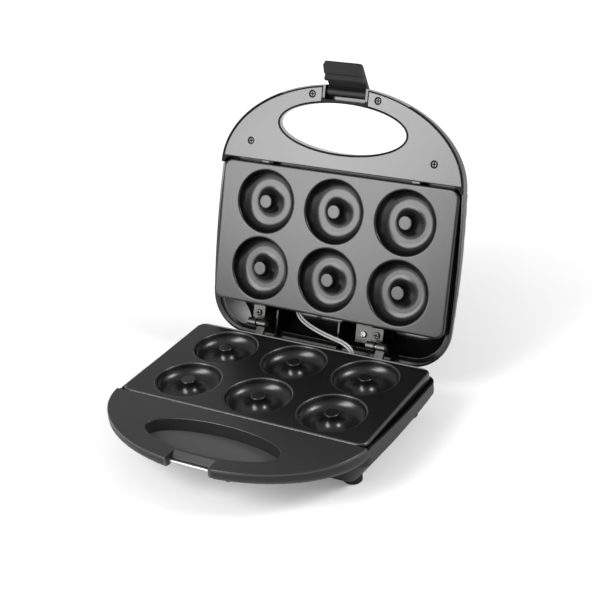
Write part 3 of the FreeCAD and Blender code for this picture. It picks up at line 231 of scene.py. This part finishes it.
# Painted shade: the groove round the cover and the screw wells are painted near black.
for finish in (cover_abs_painted_reflection, gloss_abs):
    paint_light_and_shade(finish, LID_WAY, groove, "#050505", rough=0.9)
# Painted shade: the lip of the hand opening is painted near black.
paint_light_and_shade(gloss_abs, LID_WAY, opening_lip, "#050505", rough=0.9, before=LIP_REAR)
# Painted reflection: the hood's inner corner is painted pale grey.
paint_light_and_shade(gloss_abs, CORNER_WAY, hood_corner, "#b0b0b0", rough=0.45)
print("groove from", round(groove[0] / MM, 1), "to", round(groove[1] / MM, 1), "mm")

# %% [markdown]
# ## Non-stick coating
# The plates are cast aluminium, sprayed with black PTFE and baked. The spray dries to a faint orange peel
# with fine glossy specks in it. It mirrors a lamp more softly than the plastic does.

# %% Non-stick coating
SPECK_MM = 0.8
SPECK_SHINE = 0.06
PEEL_MM = 1.1
PEEL_DEPTH = 0.32
CAST_EDGE_MM = 1.3


def nonstick_coating(name, rough, **sockets):
    """The distance to the nearest speck sets colour and roughness; a fine noise is the orange peel."""
    material, tree, shader, place = new_finish(name, **sockets)
    speck = add(tree, "ShaderNodeTexVoronoi", {"Vector": place, "Scale": 1 / (SPECK_MM * MM)})
    vary(tree, speck.outputs["Distance"], shader,
         Base_Color=[(0.0, linear("#121213")), (0.35, linear("#070708"))],
         Roughness=[(0.0, grey(rough - SPECK_SHINE)), (0.5, grey(rough))])
    peel = add(tree, "ShaderNodeTexNoise", {"Vector": place, "Scale": 1 / (PEEL_MM * MM), "Detail": 3.0})
    worn_edges(tree, shader, peel.outputs["Fac"], PEEL_DEPTH, edge_mm=CAST_EDGE_MM)
    return material


lid_nonstick = nonstick_coating("ptfe_black_on_lid_plate", rough=0.27, IOR=1.55)
base_nonstick = nonstick_coating("ptfe_black_on_base_plate", rough=0.31, IOR=1.62)
print("coatings:", lid_nonstick.name, base_nonstick.name)

# %% [markdown]
# ### Painted shade and highlights on the coating's rims
# Round the rims of the lid's moulds the coating is dull and painted a little darker, a painted shade. On the
# base the rims are painted a little paler, and the rear edge palest, as painted highlights. The mask finds
# the rims because their rounding lies just below the face of the plate.

# %% Painted shade and highlights on the coating's rims
REAR_WAY = (0.0, 0.5, 0.866)
lid_face = top_along("lid_mould_plate", LID_WAY)
base_face = top_along("base_mould_plate", UP)
rear_top = top_along("base_mould_plate", REAR_WAY)
lid_rims = (lid_face - 0.8 * MM, lid_face - 0.1 * MM)
base_rims = (base_face - 0.7 * MM, base_face - 0.06 * MM)
rear_edge = (rear_top - 0.9 * MM, rear_top + 1 * MM)
# Painted shade: the rims of the lid's moulds are painted a little darker.
paint_light_and_shade(lid_nonstick, LID_WAY, lid_rims, "#060606", rough=0.85)
# Painted highlight: the rims of the base's moulds are painted paler.
paint_light_and_shade(base_nonstick, UP, base_rims, "#3b3b3a", rough=0.4)
# Painted highlight: the base plate's rear edge is painted pale grey.
paint_light_and_shade(base_nonstick, REAR_WAY, rear_edge, "#8c8c8b", rough=0.4)
print("the base plate's face is", round(base_face / MM, 1), "mm above the floor")

# %% [markdown]
# ## Metals
# Pins and screws are mild steel with bright zinc on it, which looks silvery; the hinges are the same zinc,
# painted a dark grey, a painted shade. Most screws that show are black oxide, and the trays are aluminised
# sheet, which is duller than zinc. All are metals, so the colour sits in the reflection. A stretched noise
# gives the faint streaks left by rolling.

# %% Plated steel
STREAK_STRETCH = (0.15, 1.0, 1.0)


def plated_steel(name, colour, rough, streak_mm):
    """Colour and roughness follow a noise that is stretched along the object's width."""
    material, tree, shader, place = new_finish(name, Metallic=1.0)
    long_way = add(tree, "ShaderNodeMapping", {"Vector": place, "Scale": STREAK_STRETCH}).outputs["Vector"]
    streak = add(tree, "ShaderNodeTexNoise",
                 {"Vector": long_way, "Scale": 1 / (streak_mm * MM), "Detail": 4.0})
    vary(tree, streak.outputs["Fac"], shader,
         Base_Color=[(0.3, linear(colour[0])), (0.7, linear(colour[1]))],
         Roughness=[(0.3, grey(rough[0])), (0.7, grey(rough[1]))])
    return material


zinc = plated_steel("zinc_plated_steel", ("#8b8b8a", "#b0b0af"), rough=(0.3, 0.42), streak_mm=0.7)
# Painted shade: the hinges' zinc is painted darker than the pins' zinc.
hinge_steel_painted_shade = plated_steel("zinc_plated_hinge_steel_painted_shade", ("#3c3c3b", "#5c5c5b"),
                           rough=(0.3, 0.45), streak_mm=0.7)
dark_zinc = plated_steel("black_oxide_steel", ("#3a3a3b", "#555556"), rough=(0.28, 0.4), streak_mm=0.7)
sheet_steel = plated_steel("aluminised_sheet_steel", ("#4f4f4d", "#676765"),
                           rough=(0.42, 0.55), streak_mm=1.5)
heater_steel = plated_steel("heater_tube_steel", ("#54504b", "#6e6963"), rough=(0.4, 0.55), streak_mm=1.0)
cover_screw = plated_steel("black_oxide_cover_screw", ("#404041", "#5a5a5b"),
                           rough=(0.28, 0.4), streak_mm=0.7)
hinge_screw = plated_steel("black_oxide_hinge_screw", ("#4a4a4b", "#646465"),
                           rough=(0.28, 0.4), streak_mm=0.7)
print("metals:", [m.name for m in (zinc, hinge_steel_painted_shade, dark_zinc, sheet_steel, heater_steel)])

# %% [markdown]
# ### Dark crosses
# The cross in a screw's head is stamped before the finish, and its floor is painted dark, a painted shade in
# the recess. It lies lower than the top of the head, and the same mask finds it.

# %% Dark crosses
HEAD_DEPTH = 3 * MM
crosses = (("lid_handle_screws", cover_screw, 0.5 * MM), ("hinge_lid_screws", hinge_screw, 0.8 * MM))
for name, finish, below_top in crosses:
    head_top = top_along(name, LID_WAY)
    # Painted shade: the floor of each cross is painted near black.
    paint_light_and_shade(finish, LID_WAY, (head_top - HEAD_DEPTH, head_top - below_top), "#060606", rough=0.8)
    print(finish.name, "is dark from", round(below_top / MM, 1), "mm below the top of the head")

# %% [markdown]
# ## Small finishes
# Rubber for the feet is matt with a dusty skin. The inner blocks are unglazed steatite, which is chalky. The
# pilot lights are clear coloured acrylic, and the lead has silicone insulation, soft and slightly shiny.

# %% Rubber, ceramic, lenses and insulation
def plain_finish(name, colours, grain_mm, depth, **sockets):
    """One noise moves the colour from end to end and is the height of the surface."""
    material, tree, shader, place = new_finish(name, **sockets)
    noise = add(tree, "ShaderNodeTexNoise", {"Vector": place, "Scale": 1 / (grain_mm * MM), "Detail": 3.0})
    grain = noise.outputs["Fac"]
    vary(tree, grain, shader, Base_Color=[(0.3, linear(colours[0])), (0.7, linear(colours[1]))])
    bump = add(tree, "ShaderNodeBump", {"Height": grain, "Strength": depth, "Distance": GRAIN_HEIGHT})
    tree.links.new(bump.outputs["Normal"], shader.inputs["Normal"])
    return material


rubber = plain_finish("natural_rubber_black", ("#080808", "#0f0f0f"), grain_mm=0.6, depth=0.3,
                      Roughness=0.8, IOR=1.4)
steatite = plain_finish("steatite_ceramic", ("#d6cfbf", "#e4dece"), grain_mm=0.8, depth=0.2,
                        Roughness=0.6, IOR=1.55)
red_acrylic = plain_finish("acrylic_red", ("#7d0a08", "#9c100c"), grain_mm=3.0, depth=0.02,
                           Roughness=0.08, IOR=1.49, Transmission_Weight=0.35)
green_acrylic = plain_finish("acrylic_green", ("#0a6a24", "#10822f"), grain_mm=3.0, depth=0.02,
                             Roughness=0.08, IOR=1.49, Transmission_Weight=0.35)
silicone = plain_finish("silicone_insulation", ("#9d9d99", "#b3b3af"), grain_mm=1.5, depth=0.05,
                        Roughness=0.3, IOR=1.43)
print("small finishes:", [m.name for m in (rubber, steatite, red_acrylic, green_acrylic, silicone)])

# %% [markdown]
# ## Dress the pieces
# Each piece keeps its own shape and takes the finish of the material it is made of.

# %% Dress the pieces
dress = {
    satin_abs_painted_light: ["base_handle_top"],
    tub_abs: ["base_shell", "cord_inlet"],
    latch_abs: ["latch"],
    gloss_abs: ["lid_shell"],
    cover_abs_painted_reflection: ["lid_handle_cover"],
    lid_nonstick: ["lid_mould_plate"],
    base_nonstick: ["base_mould_plate"],
    hinge_steel_painted_shade: ["hinge_base_leaf_left", "hinge_base_leaf_right",
                  "hinge_lid_leaf_left", "hinge_lid_leaf_right"],
    zinc: ["hinge_pin_left", "hinge_pin_right", "earth_screw", "latch_pin", "catch_bar",
           "base_clamp_screws", "lid_clamp_screws", "base_plate_screws", "lid_plate_screws",
           "base_tray_screws", "lid_tray_screws"],
    dark_zinc: ["base_handle_screws", "hinge_base_screws"],
    cover_screw: ["lid_handle_screws"],
    hinge_screw: ["hinge_lid_screws"],
    sheet_steel: ["base_heat_tray", "lid_heat_tray", "base_heater_clamps", "lid_heater_clamps"],
    heater_steel: ["base_heater", "lid_heater", "thermal_fuse"],
    steatite: ["base_terminal_block", "lid_terminal_block", "thermostat", "fuse_clip", "light_holder"],
    rubber: ["feet"],
    red_acrylic: ["power_light"],
    green_acrylic: ["ready_light"],
}
for finish, names in dress.items():
    for name in names:
        pieces[name].data.materials.clear()
        pieces[name].data.materials.append(finish)
print("dressed:", sum(len(names) for names in dress.values()), "pieces")

# %% [markdown]
# ## The twin lead
# Two insulated strands leave the terminal block in the lid, drop past the hinge line and go through the rear
# wall of the base. A strand's middle line is one smooth NURBS line, which needs only a few given points.

# %% Line of a strand
STRANDS = {
    "lead_strand_front": [(-24.2, 93.3, 59.1), (-37.8, 93.3, 59.1), (-30.0, 84.1, 50.0), (-5.0, 75.8, 44.6),
                          (34.5, 62.2, 46.0), (34.5, 62.2, 28.0), (34.5, 50.0, 28.0), (24.2, 50.0, 28.0)],
    "lead_strand_rear": [(-24.2, 94.7, 60.5), (-36.4, 94.7, 60.5), (-28.6, 85.5, 51.3), (-3.6, 77.1, 46.0),
                         (35.9, 63.5, 47.4), (35.9, 63.5, 29.4), (35.9, 51.3, 29.4), (24.2, 51.3, 29.4)],
}
LINE_ORDER = 3
LINE_STEPS = 16


def smooth_line(name, route):
    """Points of a NURBS line that the route's points pull on; it meets the first and the last of them."""
    curve = bpy.data.curves.new(name, "CURVE")
    curve.dimensions = "3D"
    spline = curve.splines.new("NURBS")
    spline.points.add(len(route) - 1)
    for point, place in zip(spline.points, route):
        point.co = (*(MM * np.array(place)), 1.0)
    spline.order_u = LINE_ORDER
    spline.use_endpoint_u = True
    spline.resolution_u = LINE_STEPS
    carrier = bpy.data.objects.new(name, curve)
    mesh = bpy.data.meshes.new_from_object(carrier)
    points = np.empty(3 * len(mesh.vertices))
    mesh.vertices.foreach_get("co", points)
    bpy.data.objects.remove(carrier)
    return points.reshape(-1, 3)


print("strands:", {name: len(route) for name, route in STRANDS.items()}, "points by hand")

# %% [markdown]
# ### Strands
# Each strand is a tube round its line. The tube's rings stand square to the line: a fixed helper direction,
# never in line with the run, gives each ring its two axes, so the tube doesn't twist.

# %% Strands
STRAND_R = 0.9 * MM
RING_SIDES = 16
HELPER = np.array([1.0, 1.0, -1.0]) / math.sqrt(3)


def tube(name, line, radius):
    """Rings at line + radius (cos t times the first axis + sin t times the second), closed at both ends."""
    along = np.gradient(line, axis=0)
    along /= np.linalg.norm(along, axis=1, keepdims=True)
    first = np.cross(along, HELPER)
    first /= np.linalg.norm(first, axis=1, keepdims=True)
    second = np.cross(along, first)
    turn = np.linspace(0, 2 * math.pi, RING_SIDES, endpoint=False)[None, :, None]
    rings = line[:, None] + radius * (np.cos(turn) * first[:, None] + np.sin(turn) * second[:, None])
    index = np.arange(len(line) * RING_SIDES).reshape(len(line), RING_SIDES)
    ahead = np.roll(index, -1, axis=1)
    quads = np.stack([index[:-1], ahead[:-1], ahead[1:], index[1:]], axis=-1).reshape(-1, 4)
    caps = [index[0, ::-1].tolist(), index[-1].tolist()]
    mesh = bpy.data.meshes.new(name)
    mesh.from_pydata(rings.reshape(-1, 3).tolist(), [], quads.tolist() + caps)
    mesh.shade_smooth()
    piece = bpy.data.objects.new(name, mesh)
    scene.collection.objects.link(piece)
    return piece


for name, route in STRANDS.items():
    line = smooth_line(name + "_line", route)
    strand = tube(name, line, STRAND_R)
    strand.data.materials.append(silicone)
    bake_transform(strand)
    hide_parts("lid_lead")

# %% [markdown]
# ## Camera
# The camera's place was found by fitting the rings, posts and plate corners of the picture. It is described
# by the turn round the object, the height above the horizon and a small roll.

# %% Camera
AIM = np.array([0.0066, 0.02725, 0.1041])
DISTANCE = 1.155
TURN, HEIGHT, ROLL = np.radians([30.7, 26.7, -4.1])
LENS_MM = 80.75
SENSOR_MM = 36.0
FARTHEST = 60.0
back = np.array([math.sin(TURN) * math.cos(HEIGHT), -math.cos(TURN) * math.cos(HEIGHT), math.sin(HEIGHT)])
right = np.array([math.cos(TURN), math.sin(TURN), 0.0])
up = np.cross(back, right)
right, up = (right * math.cos(ROLL) + up * math.sin(ROLL), up * math.cos(ROLL) - right * math.sin(ROLL))
pose = np.eye(4)
pose[:3, :4] = np.column_stack([right, up, back, AIM + DISTANCE * back])
camera = bpy.data.objects.new("camera", bpy.data.cameras.new("camera"))
camera.data.lens = LENS_MM
camera.data.sensor_width = SENSOR_MM
camera.data.clip_end = FARTHEST
camera.matrix_world = Matrix(pose.tolist())
scene.collection.objects.link(camera)
scene.camera = camera
print("camera at", np.round(pose[:3, 3], 3))

# %% [markdown]
# ## Light
# Black gloss is drawn by what it mirrors. A tall softbox at the left stands where the open lid throws the
# camera's gaze, so the lid's flat faces turn grey while the mould walls stay dark. It leans, so that it
# fills the top of the lid evenly and fades at the lower right. With a smaller box at the right it also puts
# the paired glints in the lower moulds.

# %% Softboxes
def softbox(name, way, distance, size, power, target, lean=0.0):
    """Area lamp at target + distance times way, which faces the target; lean tips its top sideways."""
    way = np.array(way) / np.linalg.norm(way)
    side = np.cross(UP, way)
    side /= np.linalg.norm(side)
    up = np.cross(way, side)
    side, up = (side * math.cos(lean) - up * math.sin(lean), up * math.cos(lean) + side * math.sin(lean))
    place = np.eye(4)
    place[:3, :4] = np.column_stack([side, up, way, np.array(target) + distance * way])
    lamp = bpy.data.lights.new(name, "AREA")
    lamp.shape = "RECTANGLE"
    lamp.size, lamp.size_y = size
    lamp.energy = power
    box = bpy.data.objects.new(name, lamp)
    box.matrix_world = Matrix(place.tolist())
    scene.collection.objects.link(box)


softbox("softbox_left", way=(-0.38, -0.80, 0.46), distance=1.3, size=(0.6, 1.1), power=18.0,
        target=(0.0, 0.06, 0.12), lean=math.radians(20))
softbox("softbox_right", way=(0.76, 0.15, 0.61), distance=1.3, size=(0.42, 0.42), power=9.0,
        target=(0.0, -0.01, 0.046))
print("lamps:", {lamp.name: lamp.energy for lamp in bpy.data.lights})

# %% [markdown]
# ### Surround
# The surround is a white sweep that turns grey above the horizon. Faces that look level mirror the white,
# and faces that look up stay darker.

# %% Surround
SWEEP_TOP, SWEEP_WHITE = 0.12, 1.0
SKY_FOOT, SKY_GREY = 0.3, 0.4
world = bpy.data.worlds.new("surround")
world.use_nodes = True
tree = world.node_tree
way = add(tree, "ShaderNodeTexCoord").outputs["Generated"]
height = add(tree, "ShaderNodeSeparateXYZ", {"Vector": way}).outputs["Z"]
vary(tree, height, tree.nodes["Background"],
     Color=[(SWEEP_TOP, grey(SWEEP_WHITE)), (SKY_FOOT, grey(SKY_GREY))])
scene.world = world
print("surround:", SWEEP_WHITE, "near the horizon and", SKY_GREY, "overhead")

# %% [markdown]
# ## Floor
# A plain pale floor of paper. It takes the shadow as any white card does. Far from the lamps it would turn
# grey, so there a glow, seen by the camera and in reflections but lighting nothing, keeps it paper white.

# %% Floor
FLOOR_HALF = 12.0
corners = FLOOR_HALF * np.array([[-1, -1, 0], [1, -1, 0], [1, 1, 0], [-1, 1, 0]])
floor_mesh = bpy.data.meshes.new("floor")
floor_mesh.from_pydata(corners.tolist(), [], [(0, 1, 2, 3)])
floor = bpy.data.objects.new("floor", floor_mesh)
scene.collection.objects.link(floor)
print("floor:", 2 * FLOOR_HALF, "m wide")

# %% [markdown]
# ### Paper and its glow
# The glow grows with the distance from the object, so the shadow beside it keeps its depth.

# %% Paper and its glow
PAPER_ROUGH = 0.9
PAPER_SPECULAR = 0.1
GLOW_START, GLOW_END = 0.2, 1.0
GLOW_NEAR, GLOW_FAR = 0.15, 0.58
paper = bpy.data.materials.new("white_paper")
paper.use_nodes = True
tree = paper.node_tree
skin = tree.nodes["Principled BSDF"]
skin.inputs["Base Color"].default_value = linear("#f2f2f2")
skin.inputs["Roughness"].default_value = PAPER_ROUGH
skin.inputs["Specular IOR Level"].default_value = PAPER_SPECULAR
skin.inputs["Emission Color"].default_value = grey(1.0)
rays = add(tree, "ShaderNodeLightPath").outputs
seen = 0.0
for ray in ("Is Camera Ray", "Is Glossy Ray", "Is Transmission Ray"):
    seen = add(tree, "ShaderNodeMath", {0: seen, 1: rays[ray]}, operation="ADD").outputs["Value"]
spot = add(tree, "ShaderNodeNewGeometry").outputs["Position"]
away = add(tree, "ShaderNodeVectorMath", {0: spot}, operation="LENGTH").outputs["Value"]
level = add(tree, "ShaderNodeMapRange", {"Value": away, "From Min": GLOW_START, "From Max": GLOW_END,
                                         "To Min": GLOW_NEAR, "To Max": GLOW_FAR}).outputs["Result"]
glow = add(tree, "ShaderNodeMath", {0: seen, 1: level}, operation="MULTIPLY").outputs["Value"]
tree.links.new(glow, skin.inputs["Emission Strength"])
floor_mesh.materials.append(paper)
print("glow from", GLOW_NEAR, "near the object to", GLOW_FAR, "beyond", GLOW_END, "m")
